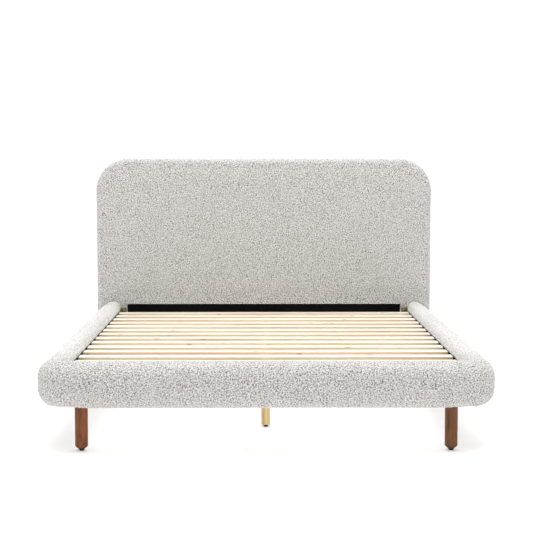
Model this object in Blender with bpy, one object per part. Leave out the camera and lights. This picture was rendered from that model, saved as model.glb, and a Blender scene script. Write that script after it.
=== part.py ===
"""Queen-size upholstered bed: padded headboard, padded rails, slat deck and wooden legs.

Metres, +Z up.  The origin is on the floor under the middle of the bed.  +Y points to the
head end, and +X to the right of someone who stands at the foot end.
"""

import math

import bmesh
import bpy

# ------------------------------------------------------------------ driving dimensions
GAP = 0.0003  # clearance between pieces that touch
WELD = 0.00001  # points closer than this are one
CUT_MARGIN = 0.010  # how far a cutter runs past the piece it cuts
TIMBER_EDGE = 0.002  # chamfers
SLAT_EDGE = 0.0015
CENTRE_LEG_EDGE = 0.0015
SMALL_EDGE = 0.001
FINE_EDGE = 0.0005

INNER_WIDTH = 1.540  # between the side rails, for a 1.53 m wide mattress
INNER_LENGTH = 2.040  # footboard to headboard, for a 2.03 m long mattress

RAIL_THICKNESS = 0.098
RAIL_BOTTOM = 0.1665
RAIL_TOP = 0.345
RAIL_INNER_RADIUS = 0.030  # padded edge next to the mattress
RAIL_OUTER_WIDTH = 0.060  # half axes of the padded outer edges
RAIL_OUTER_HEIGHT = 0.070

CORE_DEPTH = 0.045  # plywood box beam inside each padded rail
CORE_BOTTOM = 0.172
CORE_TOP = 0.2945
CORE_WALL = 0.012
FOOT_CORE_HALF_LENGTH = 0.800

HEADBOARD_WIDTH = 1.800
HEADBOARD_TOP = 1.110
HEADBOARD_THICKNESS = 0.090
HEADBOARD_RADIUS = 0.173
HEADBOARD_FOOT_RADIUS = 0.045
HEADBOARD_FRONT_EDGE = 0.030
HEADBOARD_BACK_EDGE = 0.025
FRAME_CORNER_RADIUS = 0.004  # lower corners of the boards inside the headboard
PAD_DEPTH = 0.035  # foam in front of the headboard's plywood, and round its frame
PAD_UNDER_POSTS = 0.005
NOTCH_HALF_WIDTH = 0.737  # the padding stops here, where the mattress hides the board
NOTCH_TOP = 0.330

PANEL_THICKNESS = 0.009
PANEL_SPLIT = 0.362  # height where the plywood face meets the lined board
POST_WIDTH = 0.060
POST_TOP = 1.000
TIMBER_HEIGHT = 0.050

SLAT_COUNT = 14
SLAT_LENGTH = 1.538
SLAT_WIDTH = 0.063
SLAT_THICKNESS = 0.0145
SLAT_TOP = 0.293
SLAT_PITCH = 0.139
FIRST_SLAT_GAP = 0.060  # headboard to the nearest slat

LEDGE_WIDTH = 0.032
LEDGE_HEIGHT = 0.026
LEDGE_END_GAP = 0.054  # room for the corner brackets

BEAM_WIDTH = 0.038
BEAM_HEIGHT = 0.065
SADDLE_LENGTH = 0.040
SADDLE_HEIGHT = 0.050
PLATE = 0.003  # thickness of all pressed steel

CENTRE_LEG_SIDE = 0.037
CENTRE_LEG_COUNT = 3
CENTRE_LEG_FROM_END = 0.410
FOOT_RADIUS = 0.0095
FOOT_HEIGHT = 0.009
FOOT_STUD_RADIUS = 0.004
FOOT_STUD_LENGTH = 0.026
FOOT_BORE_CLEARANCE = 0.0006

LEG_RADIUS = 0.0245
LEG_X = 0.700
LEG_OUT = 0.030  # footboard's inner face to the middle of its legs
LEG_CONE_ANGLE = 38  # slope of the tip, in degrees
LEG_SHOULDER_RADIUS = 0.010
LEG_SHOULDER_TOP = 0.022
GLIDE_RADIUS = 0.0105
GLIDE_HEIGHT = 0.006
GLIDE_FLAT_RADIUS = 0.005

BRACKET_ARM = 0.050
BRACKET_TAB = 0.030
BRACKET_BOTTOM = 0.176
HEAD_BRACKET_TOP = 0.309
FOOT_BRACKET_TOP = 0.286
BOLT_RADIUS = 0.004
BOLT_HOLE_RADIUS = 0.0050
BOLT_HEAD_RADIUS = 0.008
BOLT_HEAD_HEIGHT = 0.004
BOLT_SOCKET = 0.6  # the socket's size as a share of the shank and of the head
HEAD_BOLT_LENGTH = 0.068
FOOT_BOLT_LENGTH = 0.030
HEAD_BOLT_HEIGHTS = (0.200, 0.298)
FOOT_BOLT_HEIGHTS = (0.200, 0.262)

# ------------------------------------------------------------------ places that follow
HALF_WIDTH = INNER_WIDTH / 2
TOTAL_LENGTH = RAIL_THICKNESS + INNER_LENGTH + HEADBOARD_THICKNESS
FOOT_FACE = -TOTAL_LENGTH / 2 + RAIL_THICKNESS  # the footboard's inner face
HEAD_FACE = FOOT_FACE + INNER_LENGTH  # the headboard's front face
HEAD_BACK = HEAD_FACE + HEADBOARD_THICKNESS
PANEL_FRONT = HEAD_FACE + PAD_DEPTH
FRAME_BACK = HEAD_BACK - PANEL_THICKNESS - GAP
SLAT_BOTTOM = SLAT_TOP - SLAT_THICKNESS
BEAM_TOP = SLAT_BOTTOM - GAP
BEAM_BOTTOM = BEAM_TOP - BEAM_HEIGHT
TAB_X = HALF_WIDTH - GAP - BRACKET_TAB / 2  # bolt line of the corner brackets
LEG_TOP = CORE_BOTTOM - GAP  # legs stand under the frame, through the padding
FOOT_LEG_Y = FOOT_FACE - LEG_OUT
HEAD_LEG_Y = FRAME_BACK - GAP - LEG_RADIUS
SIDES = (("left", -1), ("right", 1))

# ------------------------------------------------------------------ facets
HOLE_SIDES = 12
BORE_SIDES = 16
LEG_SIDES = 32
SMOOTH_ANGLE = 35  # faces that meet at less than this, in degrees, are shaded as one
CORNER_STEPS = 8  # round the footboard's corners in plan
LARGE_ARC_STEPS = 10
SMALL_ARC_STEPS = 4

# name: (base colour, roughness, metallic)
FINISHES = {
    "boucle": ((0.60, 0.58, 0.54), 0.95, 0.0),
    "black_lining": ((0.012, 0.011, 0.010), 0.90, 0.0),
    "plywood": ((0.62, 0.45, 0.27), 0.65, 0.0),
    "pine": ((0.78, 0.60, 0.36), 0.55, 0.0),
    "walnut": ((0.24, 0.095, 0.040), 0.40, 0.0),
    "zinc": ((0.62, 0.50, 0.22), 0.35, 1.0),
    "black_steel": ((0.02, 0.02, 0.02), 0.45, 0.6),
    "black_plastic": ((0.015, 0.015, 0.015), 0.50, 0.0),
}


# ------------------------------------------------------------------ shared tools
def clear_scene():
    for obj in list(bpy.data.objects):
        bpy.data.objects.remove(obj)


def make_materials():
    """One Principled material for each finish."""
    made = {}
    for name, (colour, roughness, metallic) in FINISHES.items():
        material = bpy.data.materials.new(name)
        material.use_nodes = True
        shader = material.node_tree.nodes["Principled BSDF"]
        shader.inputs["Base Color"].default_value = (*colour, 1.0)
        shader.inputs["Roughness"].default_value = roughness
        shader.inputs["Metallic"].default_value = metallic
        made[name] = material
    return made


def finish_mesh(bm, name, smooth=False):
    """Turns a bmesh into a mesh whose faces point out."""
    bmesh.ops.recalc_face_normals(bm, faces=bm.faces)
    mesh = bpy.data.meshes.new(name)
    bm.to_mesh(mesh)
    bm.free()
    if smooth:
        mesh.shade_smooth()
        mesh.set_sharp_from_angle(angle=math.radians(SMOOTH_ANGLE))
    return mesh


def place(name, mesh, material, location=(0, 0, 0), rotation_z=0.0):
    """Puts a mesh in the scene as one named piece."""
    obj = bpy.data.objects.new(name, mesh)
    if not mesh.materials:
        mesh.materials.append(material)
    obj.location = location
    obj.rotation_euler = (0, 0, rotation_z)
    bpy.context.scene.collection.objects.link(obj)
    return obj


def loft(rings):
    """A closed body through rings of equal count, with flat ends."""
    bm = bmesh.new()
    loops = [[bm.verts.new(point) for point in ring] for ring in rings]
    for this, after in zip(loops, loops[1:]):
        for i in range(len(this)):
            j = (i + 1) % len(this)
            bm.faces.new((this[i], this[j], after[j], after[i]))
    bm.faces.new(loops[0])
    bm.faces.new(loops[-1])
    bmesh.ops.remove_doubles(bm, verts=bm.verts, dist=WELD)
    return bm


def box_mesh(name, size, edge=0.0):
    """A box centred on its own origin, with its edges eased by a chamfer."""
    bm = bmesh.new()
    bmesh.ops.create_cube(bm, size=1.0)
    bmesh.ops.scale(bm, vec=size, verts=bm.verts)
    if edge:
        bmesh.ops.bevel(bm, geom=bm.edges, offset=edge, segments=1, affect="EDGES")
    return finish_mesh(bm, name)


def box(name, low, high, material, edge=0.0):
    """A box between two corners, with its origin at its middle."""
    size = [b - a for a, b in zip(low, high)]
    middle = [(a + b) / 2 for a, b in zip(low, high)]
    return place(name, box_mesh(name, size, edge), material, middle)


def arc(centre, radii, start, end, steps):
    """Points on an ellipse's arc, from start to end in degrees."""
    angles = [math.radians(start + (end - start) * i / steps) for i in range(steps + 1)]
    return [
        (centre[0] + radii[0] * math.cos(a), centre[1] + radii[1] * math.sin(a))
        for a in angles
    ]


def turned(name, profile, segments=24):
    """A solid of revolution about Z; the profile runs from axis to axis as (radius, height)."""
    bm = bmesh.new()
    points = [bm.verts.new((radius, 0, height)) for radius, height in profile]
    edges = [bm.edges.new(pair) for pair in zip(points, points[1:])]
    bmesh.ops.spin(
        bm,
        geom=points + edges,
        cent=(0, 0, 0),
        axis=(0, 0, 1),
        angle=math.tau,
        steps=segments,
        use_merge=True,
    )
    bmesh.ops.remove_doubles(bm, verts=bm.verts, dist=WELD)
    return finish_mesh(bm, name, smooth=True)


def cutter(name, mesh, location=(0, 0, 0)):
    """A guide shape that other pieces subtract."""
    obj = bpy.data.objects.new(name, mesh)
    obj.location = location
    obj.hide_render = True
    obj.display_type = "WIRE"
    bpy.context.scene.collection.objects.link(obj)
    return obj


def box_cutter(name, low, high):
    size = [b - a for a, b in zip(low, high)]
    middle = [(a + b) / 2 for a, b in zip(low, high)]
    return cutter(name, box_mesh(name, size), middle)


def hole_cutter(name, x, y_range, z, radius):
    """A round hole along Y."""
    outline = arc((0, 0), (radius, radius), 0, 360, HOLE_SIDES)[:-1]
    rings = [[(px, y, pz) for px, pz in outline] for y in y_range]
    return cutter(name, finish_mesh(loft(rings), name), (x, 0, z))


def subtract(obj, *tools):
    for tool in tools:
        cut = obj.modifiers.new(tool.name, "BOOLEAN")
        cut.operation = "DIFFERENCE"
        cut.solver = "EXACT"
        cut.object = tool


# ------------------------------------------------------------------ padded rails
def rail_section():
    """The padded rails' outline: (distance out from the inner face, height)."""
    radius = RAIL_INNER_RADIUS
    width, height = RAIL_OUTER_WIDTH, RAIL_OUTER_HEIGHT
    outer = RAIL_THICKNESS - width
    return (
        arc((radius, RAIL_TOP - radius), (radius, radius), 180, 90, 5)
        + arc((outer, RAIL_TOP - height), (width, height), 90, 0, 7)
        + arc((outer, RAIL_BOTTOM + height), (width, height), 0, -90, 7)
        + [(0, RAIL_BOTTOM)]
    )


def core_pocket():
    """The slot in that outline for the box beam, open towards the mattress."""
    low, high, deep = CORE_BOTTOM - GAP, CORE_TOP + GAP, CORE_DEPTH + GAP
    return [(0, low), (deep, low), (deep, high), (0, high)]


def box_beam_mesh(name, depth, height, length):
    """A plywood box beam along Y, open at both ends, with its inner face at X = 0."""
    bm = bmesh.new()
    outer = [(0, 0), (depth, 0), (depth, height), (0, height)]
    wall = CORE_WALL
    inner = [
        (wall, wall),
        (depth - wall, wall),
        (depth - wall, height - wall),
        (wall, height - wall),
    ]
    ends = (-length / 2, length / 2)
    skins = [
        [[bm.verts.new((x, y, z)) for x, z in outline] for y in ends]
        for outline in (outer, inner)
    ]
    for near, far in skins:
        for i in range(4):
            j = (i + 1) % 4
            bm.faces.new((near[i], near[j], far[j], far[i]))
    for end in (0, 1):
        for i in range(4):
            j = (i + 1) % 4
            outer_end, inner_end = skins[0][end], skins[1][end]
            bm.faces.new((outer_end[i], outer_end[j], inner_end[j], inner_end[i]))
    return finish_mesh(bm, name)


def side_rail(label, side, finish):
    """One side rail: its padding, its box beam and the ledge that carries the slats."""
    section = rail_section() + core_pocket()
    ends = (FOOT_FACE + GAP, HEAD_FACE - GAP)
    rings = [[(side * (HALF_WIDTH + out), y, z) for out, z in section] for y in ends]
    name = f"side_rail_upholstery_{label}"
    place(name, finish_mesh(loft(rings), name, smooth=True), finish["boucle"])

    name = f"side_rail_core_{label}"
    middle = (FOOT_FACE + HEAD_FACE) / 2
    mesh = box_beam_mesh(
        name, CORE_DEPTH, CORE_TOP - CORE_BOTTOM, INNER_LENGTH - 2 * GAP
    )
    turn = 0.0 if side > 0 else math.pi
    place(
        name,
        mesh,
        finish["black_lining"],
        (side * HALF_WIDTH, middle, CORE_BOTTOM),
        turn,
    )

    inner, outer = sorted(
        (side * (HALF_WIDTH - GAP - LEDGE_WIDTH), side * (HALF_WIDTH - GAP))
    )
    box(
        f"slat_ledge_{label}",
        (inner, FOOT_FACE + LEDGE_END_GAP, SLAT_BOTTOM - GAP - LEDGE_HEIGHT),
        (outer, HEAD_FACE - LEDGE_END_GAP, SLAT_BOTTOM - GAP),
        finish["black_lining"],
        edge=TIMBER_EDGE,
    )


def footboard(finish):
    """The footboard: padding that turns both corners on a round plan, and its box beam."""
    section = rail_section()
    rings = []
    for pivot, first in ((HALF_WIDTH, 0), (-HALF_WIDTH, -90)):
        for i in range(CORNER_STEPS + 1):
            angle = math.radians(first - 90 * i / CORNER_STEPS)
            rings.append(
                [
                    (
                        pivot + out * math.cos(angle),
                        FOOT_FACE + out * math.sin(angle),
                        z,
                    )
                    for out, z in section
                ]
            )
    name = "footboard_upholstery"
    padding = place(name, finish_mesh(loft(rings), name, smooth=True), finish["boucle"])
    half = FOOT_CORE_HALF_LENGTH
    pocket = box_cutter(
        "cut_footboard_pocket",
        (-half - GAP, FOOT_FACE - CORE_DEPTH - GAP, CORE_BOTTOM - GAP),
        (half + GAP, FOOT_FACE + CORE_DEPTH, CORE_TOP + GAP),
    )
    subtract(padding, pocket)
    for label, side in SIDES:
        radius, bottom = LEG_RADIUS + GAP, RAIL_BOTTOM - CUT_MARGIN
        profile = [(0, bottom), (radius, bottom), (radius, CORE_BOTTOM), (0, CORE_BOTTOM)]
        mesh = turned(f"cut_leg_{label}", profile, segments=LEG_SIDES)
        subtract(padding, cutter(mesh.name, mesh, (side * LEG_X, FOOT_LEG_Y, 0)))

    name = "footboard_core"
    mesh = box_beam_mesh(name, CORE_DEPTH, CORE_TOP - CORE_BOTTOM, 2 * half)
    core = place(
        name,
        mesh,
        finish["black_lining"],
        (0, FOOT_FACE, CORE_BOTTOM),
        -math.pi / 2,
    )
    reach = (FOOT_FACE - CORE_DEPTH / 2, FOOT_FACE + CORE_DEPTH)
    for label, side in SIDES:
        for i, z in enumerate(FOOT_BOLT_HEIGHTS, 1):
            tool = hole_cutter(
                f"cut_foot_{label}_{i}", side * TAB_X, reach, z, BOLT_HOLE_RADIUS
            )
            subtract(core, tool)


# ------------------------------------------------------------------ headboard
def headboard_outline(inset, bottom_inset):
    """The headboard's front outline, moved in by inset, as (x, z)."""
    half = HEADBOARD_WIDTH / 2 - inset
    top = HEADBOARD_TOP - inset
    bottom = RAIL_BOTTOM + bottom_inset
    large = HEADBOARD_RADIUS - inset
    small = max(HEADBOARD_FOOT_RADIUS - inset, FRAME_CORNER_RADIUS)
    return (
        arc((half - large, top - large), (large, large), 0, 90, LARGE_ARC_STEPS)
        + arc((-half + large, top - large), (large, large), 90, 180, LARGE_ARC_STEPS)
        + arc((-half + small, bottom + small), (small, small), 180, 270, SMALL_ARC_STEPS)
        + arc((half - small, bottom + small), (small, small), 270, 360, SMALL_ARC_STEPS)
    )


def headboard_slab():
    """The headboard's padded outside, with a full front edge and a tighter back edge."""
    front, back = HEADBOARD_FRONT_EDGE, HEADBOARD_BACK_EDGE
    layers = [
        (front - out, HEAD_FACE + front - up)
        for out, up in arc((0, 0), (front, front), 90, 0, 6)
    ]
    layers += [
        (back - out, HEAD_BACK - back + up)
        for out, up in arc((0, 0), (back, back), 0, 90, SMALL_ARC_STEPS)
    ]
    return loft(
        [[(x, y, z) for x, z in headboard_outline(inset, inset)] for inset, y in layers]
    )


def panel(name, inset, bottom_inset, y_range, material=None):
    """A flat plate that follows the headboard's outline, or its cutter if no material."""
    rings = [
        [(x, y, z) for x, z in headboard_outline(inset, bottom_inset)] for y in y_range
    ]
    mesh = finish_mesh(loft(rings), name)
    return place(name, mesh, material) if material else cutter(name, mesh)


def headboard(finish):
    """Padding with a pocket for the timber frame, the frame, and the boards on it."""
    name = "headboard_upholstery"
    padding = place(
        name, finish_mesh(headboard_slab(), name, smooth=True), finish["boucle"]
    )
    behind = HEAD_BACK + CUT_MARGIN
    pocket = panel(
        "cut_headboard_pocket", PAD_DEPTH, PAD_UNDER_POSTS, (PANEL_FRONT, behind)
    )
    notch = box_cutter(
        "cut_headboard_notch",
        (-NOTCH_HALF_WIDTH, HEAD_FACE - CUT_MARGIN, RAIL_BOTTOM - CUT_MARGIN),
        (NOTCH_HALF_WIDTH, behind, NOTCH_TOP),
    )
    subtract(padding, pocket, notch)

    panel(
        "headboard_back_panel",
        PAD_DEPTH + GAP,
        PAD_UNDER_POSTS + GAP,
        (HEAD_BACK - PANEL_THICKNESS, HEAD_BACK),
        finish["boucle"],
    )
    front_y = PANEL_FRONT + GAP
    board_back = front_y + PANEL_THICKNESS
    panel(
        "headboard_front_panel",
        PAD_DEPTH + GAP,
        PANEL_SPLIT + GAP - RAIL_BOTTOM,
        (front_y, board_back),
        finish["plywood"],
    )
    inner_post = NOTCH_HALF_WIDTH
    box(
        "headboard_lining_board",
        (-inner_post + GAP, front_y, CORE_BOTTOM),
        (inner_post - GAP, board_back, PANEL_SPLIT),
        finish["black_lining"],
    )

    timber_y = (board_back + GAP, FRAME_BACK)
    for label, side in SIDES:
        across = sorted((side * inner_post, side * (inner_post + POST_WIDTH)))
        post = box(
            f"headboard_post_{label}",
            (across[0], timber_y[0], RAIL_BOTTOM + PAD_UNDER_POSTS + GAP),
            (across[1], timber_y[1], POST_TOP),
            finish["pine"],
            edge=TIMBER_EDGE,
        )
        for i, z in enumerate(HEAD_BOLT_HEIGHTS, 1):
            reach = (HEAD_FACE - RAIL_THICKNESS, HEAD_FACE + HEAD_BOLT_LENGTH)
            tool = hole_cutter(
                f"cut_head_{label}_{i}", side * TAB_X, reach, z, BOLT_HOLE_RADIUS
            )
            subtract(post, tool)
            subtract(padding, tool)
    inner = inner_post - GAP
    rails = (
        ("headboard_top_rail", POST_TOP - TIMBER_HEIGHT),
        ("headboard_lower_rail", PANEL_SPLIT - TIMBER_HEIGHT / 2),
        ("headboard_bottom_rail", CORE_BOTTOM),
    )
    for name, low in rails:
        box(
            name,
            (-inner, timber_y[0], low),
            (inner, timber_y[1], low + TIMBER_HEIGHT),
            finish["pine"],
            edge=TIMBER_EDGE,
        )


# ------------------------------------------------------------------ hardware
def corner_bracket(name, side, face, inwards, top, bolt_heights, material):
    """An angle plate: an arm along the side rail and a tab on the end board."""
    plan = [
        (0, 0),
        (BRACKET_TAB, 0),
        (BRACKET_TAB, PLATE),
        (PLATE, PLATE),
        (PLATE, BRACKET_ARM),
        (0, BRACKET_ARM),
    ]
    x0 = HALF_WIDTH - GAP
    y0 = face + inwards * GAP
    rings = [
        [(side * (x0 - along), y0 + inwards * out, z) for along, out in plan]
        for z in (BRACKET_BOTTOM, top)
    ]
    bracket = place(name, finish_mesh(loft(rings), name), material)
    for i, z in enumerate(bolt_heights, 1):
        tool = hole_cutter(
            f"cut_{name}_{i}",
            side * TAB_X,
            (face - 2 * PLATE, face + 2 * PLATE),
            z,
            BOLT_HOLE_RADIUS,
        )
        subtract(bracket, tool)


def bolt_mesh(name, length):
    """A round-headed bolt: its shank runs along +Y from the head's seat at the origin."""
    head, tall, shank = BOLT_HEAD_RADIUS, BOLT_HEAD_HEIGHT, BOLT_RADIUS
    socket, deep = shank * BOLT_SOCKET, tall * BOLT_SOCKET
    mesh = turned(
        name,
        [
            (0, -length),
            (shank - SMALL_EDGE, -length),
            (shank, -length + SMALL_EDGE),
            (shank, 0),
            (head, 0),
            (head, tall / 2),
            (head - tall / 2, tall),
            (socket, tall),
            (socket, tall - deep),
            (0, tall - deep),
        ],
        segments=HOLE_SIDES,
    )
    for vertex in mesh.vertices:
        x, y, z = vertex.co
        vertex.co = (x, -z, y)
    return mesh


def corners(finish):
    """Four angle brackets and the two bolts through each one's tab."""
    ends = (
        ("head", HEAD_FACE, -1, HEAD_BRACKET_TOP, HEAD_BOLT_HEIGHTS, HEAD_BOLT_LENGTH),
        ("foot", FOOT_FACE, 1, FOOT_BRACKET_TOP, FOOT_BOLT_HEIGHTS, FOOT_BOLT_LENGTH),
    )
    for end, face, inwards, top, heights, length in ends:
        mesh = bolt_mesh(f"{end}_bolt", length)
        for label, side in SIDES:
            corner_bracket(
                f"corner_bracket_{end}_{label}",
                side,
                face,
                inwards,
                top,
                heights,
                finish["zinc"],
            )
            seat = face + inwards * (2 * GAP + PLATE)
            turn = 0.0 if inwards < 0 else math.pi
            for i, z in enumerate(heights, 1):
                place(
                    f"{end}_bolt_{label}_{i}",
                    mesh,
                    finish["zinc"],
                    (side * TAB_X, seat, z),
                    turn,
                )


def beam_saddle(name, wall, inwards, material):
    """A steel trough on an end board, in which an end of the centre beam rests."""
    half = BEAM_WIDTH / 2 + GAP
    back = wall + inwards * GAP
    bottom = BEAM_BOTTOM - GAP
    y_out = sorted((back, back + inwards * SADDLE_LENGTH))
    y_in = sorted((back + inwards * PLATE, back + inwards * SADDLE_LENGTH * 2))
    saddle = box(
        name,
        (-half - PLATE, y_out[0], bottom - PLATE),
        (half + PLATE, y_out[1], bottom + SADDLE_HEIGHT),
        material,
    )
    subtract(
        saddle,
        box_cutter(
            f"cut_{name}",
            (-half, y_in[0], bottom),
            (half, y_in[1], bottom + 2 * SADDLE_HEIGHT),
        ),
    )


# ------------------------------------------------------------------ slat deck
def slat_deck(finish):
    mesh = box_mesh("slat", (SLAT_LENGTH, SLAT_WIDTH, SLAT_THICKNESS), edge=SLAT_EDGE)
    for i in range(SLAT_COUNT):
        y = HEAD_FACE - FIRST_SLAT_GAP - SLAT_WIDTH / 2 - SLAT_PITCH * i
        height = SLAT_TOP - SLAT_THICKNESS / 2
        place(f"slat_{SLAT_COUNT - i:02d}", mesh, finish["pine"], (0, y, height))


def centre_support(finish):
    """The beam under the slats, its saddles, and its legs on levelling feet."""
    foot_wall, head_wall = FOOT_FACE, PANEL_FRONT + GAP
    beam_saddle("beam_saddle_foot", foot_wall, 1, finish["black_steel"])
    beam_saddle("beam_saddle_head", head_wall, -1, finish["black_steel"])
    box(
        "centre_beam",
        (-BEAM_WIDTH / 2, foot_wall + PLATE + 2 * GAP, BEAM_BOTTOM),
        (BEAM_WIDTH / 2, head_wall - PLATE - 2 * GAP, BEAM_TOP),
        finish["pine"],
        edge=TIMBER_EDGE,
    )

    stud, foot = FOOT_STUD_RADIUS, FOOT_RADIUS
    stud_top = FOOT_HEIGHT + FOOT_STUD_LENGTH
    bore_radius, bore_top = stud + FOOT_BORE_CLEARANCE, stud_top + 2 * SMALL_EDGE
    bore = turned(
        "cut_bore",
        [(0, 0), (bore_radius, 0), (bore_radius, bore_top), (0, bore_top)],
        segments=BORE_SIDES,
    )
    foot_mesh = turned(
        "levelling_foot",
        [
            (0, 0),
            (foot - SMALL_EDGE, 0),
            (foot, SMALL_EDGE),
            (foot, FOOT_HEIGHT - FINE_EDGE),
            (foot - FINE_EDGE, FOOT_HEIGHT),
            (stud, FOOT_HEIGHT),
            (stud, stud_top - SMALL_EDGE),
            (stud - SMALL_EDGE, stud_top),
            (0, stud_top),
        ],
    )
    low, high = FOOT_HEIGHT + GAP, BEAM_BOTTOM - GAP
    half = CENTRE_LEG_SIDE / 2
    span = INNER_LENGTH - 2 * CENTRE_LEG_FROM_END
    for i in range(CENTRE_LEG_COUNT):
        y = FOOT_FACE + CENTRE_LEG_FROM_END + span * i / (CENTRE_LEG_COUNT - 1)
        leg = box(
            f"centre_leg_{i + 1}",
            (-half, y - half, low),
            (half, y + half, high),
            finish["pine"],
            edge=CENTRE_LEG_EDGE,
        )
        subtract(leg, cutter(f"cut_bore_{i + 1}", bore, (0, y, 0)))
        place(f"levelling_foot_{i + 1}", foot_mesh, finish["black_plastic"], (0, y, 0))


def corner_legs(finish):
    """Four turned legs with a round-shouldered cone at the tip, each on a domed glide."""
    low = GLIDE_HEIGHT + GAP
    shoulder = arc(
        (LEG_RADIUS - LEG_SHOULDER_RADIUS, LEG_SHOULDER_TOP),
        (LEG_SHOULDER_RADIUS, LEG_SHOULDER_RADIUS),
        LEG_CONE_ANGLE - 90,
        0,
        SMALL_ARC_STEPS,
    )
    leg_mesh = turned(
        "leg",
        [(0, low), (GLIDE_RADIUS + FINE_EDGE, low)]
        + shoulder
        + [(LEG_RADIUS, LEG_TOP), (0, LEG_TOP)],
        segments=LEG_SIDES,
    )
    dome = arc(
        (GLIDE_FLAT_RADIUS, GLIDE_HEIGHT - SMALL_EDGE),
        (GLIDE_RADIUS - GLIDE_FLAT_RADIUS, GLIDE_HEIGHT - SMALL_EDGE),
        -90,
        0,
        SMALL_ARC_STEPS,
    )
    glide_mesh = turned(
        "glide", [(0, 0)] + dome + [(GLIDE_RADIUS, GLIDE_HEIGHT), (0, GLIDE_HEIGHT)]
    )
    for end, y in (("foot", FOOT_LEG_Y), ("head", HEAD_LEG_Y)):
        for label, side in SIDES:
            spot = (side * LEG_X, y, 0)
            place(f"leg_{end}_{label}", leg_mesh, finish["walnut"], spot)
            place(f"glide_{end}_{label}", glide_mesh, finish["black_plastic"], spot)


def build():
    clear_scene()
    finish = make_materials()
    headboard(finish)
    footboard(finish)
    for label, side in SIDES:
        side_rail(label, side, finish)
    corners(finish)
    slat_deck(finish)
    centre_support(finish)
    corner_legs(finish)


build()
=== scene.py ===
"""Looks of the upholstered bed: boucle pads, pine slats, walnut legs and plated hardware.

Everything is in metres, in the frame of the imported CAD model.  The CAD nodes stay where they
are; the padded covers, the bolts and the levelling feet are replaced by finer pieces.
"""

import math

import bmesh
import bpy
import numpy as np
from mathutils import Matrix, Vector, geometry, noise


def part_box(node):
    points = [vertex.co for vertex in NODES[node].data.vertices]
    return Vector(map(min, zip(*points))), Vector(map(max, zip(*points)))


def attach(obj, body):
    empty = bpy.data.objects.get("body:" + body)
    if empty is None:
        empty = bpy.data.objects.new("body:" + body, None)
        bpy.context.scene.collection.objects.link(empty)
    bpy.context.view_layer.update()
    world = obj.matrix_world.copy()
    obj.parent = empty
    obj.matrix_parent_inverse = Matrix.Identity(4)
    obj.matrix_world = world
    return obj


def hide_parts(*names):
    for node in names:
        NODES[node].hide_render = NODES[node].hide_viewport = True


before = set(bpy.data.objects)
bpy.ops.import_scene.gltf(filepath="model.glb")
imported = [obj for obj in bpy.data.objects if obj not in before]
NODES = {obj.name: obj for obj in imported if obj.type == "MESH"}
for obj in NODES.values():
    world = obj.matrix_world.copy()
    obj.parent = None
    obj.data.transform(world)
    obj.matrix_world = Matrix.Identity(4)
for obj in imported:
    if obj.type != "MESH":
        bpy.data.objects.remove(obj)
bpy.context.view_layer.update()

ROOT = "bed_frame"

# ------------------------------------------------------------------ sizes from the frame
RAIL_LOW, RAIL_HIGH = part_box("side_rail_upholstery_right")
CORE_LOW, CORE_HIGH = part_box("side_rail_core_right")
FOOT_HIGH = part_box("footboard_upholstery")[1]
FOOT_CORE_LOW, FOOT_CORE_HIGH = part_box("footboard_core")
HEAD_LOW, HEAD_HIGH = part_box("headboard_upholstery")
PANEL_LOW, PANEL_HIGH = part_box("headboard_back_panel")
BOARD_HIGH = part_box("headboard_lining_board")[1]
FRONT_PANEL_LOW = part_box("headboard_front_panel")[0]

GAP = 0.0003  # clearance between pieces that touch
ON_SURFACE = 2 * GAP  # a point this close to a covered surface lies on it
HALF_WIDTH = RAIL_LOW[0]  # the rails' inner faces
FOOT_FACE = FOOT_HIGH[1]
HEAD_FACE = HEAD_LOW[1]
HEAD_BACK = HEAD_HIGH[1]
RAIL_BOTTOM, RAIL_TOP = RAIL_LOW[2], RAIL_HIGH[2]
RAIL_THICKNESS = RAIL_HIGH[0] - RAIL_LOW[0]
CORE_DEPTH = CORE_HIGH[0] - CORE_LOW[0]
NOTCH_HALF_WIDTH = BOARD_HIGH[0] + GAP
PAD_DEPTH = FRONT_PANEL_LOW[1] - GAP - HEAD_FACE  # foam in front of the plywood

# ------------------------------------------------------------------ padded shapes
CELL = 0.010  # mesh spacing while the cloth is simulated
FINER = 4  # each cell is then divided this many times each way
WELD = 0.00001  # points closer than this are one
LATTICE_SHIFT = CELL / 10  # keeps the flat faces' points off the walls cut through them
LATTICE_CLEARANCE = CELL * 0.6  # from a flat face's outline to its inner points

RAIL_COLUMNS = 39  # points across the rails' covered outline
RAIL_INNER_BOW = 0.0020  # the padding leans over the slats' ends
RAIL_INNER_BOW_HEIGHT = 0.0030
RAIL_INNER_RADIUS = 0.030
RAIL_OUTER_WIDTH = 0.060
RAIL_OUTER_HEIGHT = 0.070
RAIL_END_RADIUS = 0.014
RAIL_BOW_STEPS, RAIL_INNER_STEPS, RAIL_OUTER_STEPS, RAIL_END_STEPS = 5, 10, 12, 4
CORNER_EASE = 0.080  # the bow and the swelling fade out this far from a joint
JOINT_OVERLAP = 0.002  # the footboard's ends are trimmed this far inside the rails' faces
LEG_SIDES = 32

HEADBOARD_COLUMNS = 536  # points round the headboard's outline
HEADBOARD_RADIUS = 0.173
HEADBOARD_FOOT_RADIUS = 0.045
HEADBOARD_FRONT_EDGE = 0.030
HEADBOARD_BACK_EDGE = 0.025
HEADBOARD_SIDE_RING = 0.0125  # one more ring of points, this far before the back edge
HEADBOARD_STEPS, HEADBOARD_FOOT_STEPS = 24, 8
FRONT_EDGE_STEPS, BACK_EDGE_STEPS = 6, 4
POCKET_STEPS, POCKET_FOOT_STEPS = 10, 4
SMALLEST_RADIUS = 0.002
NOTCH_TOP = 0.330
BACK_COVER_EDGE = 0.003
BACK_COVER_STEPS = 3

PAD_SMOOTH_ANGLE = 75  # faces that meet at less than this, in degrees, are shaded as one

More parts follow.
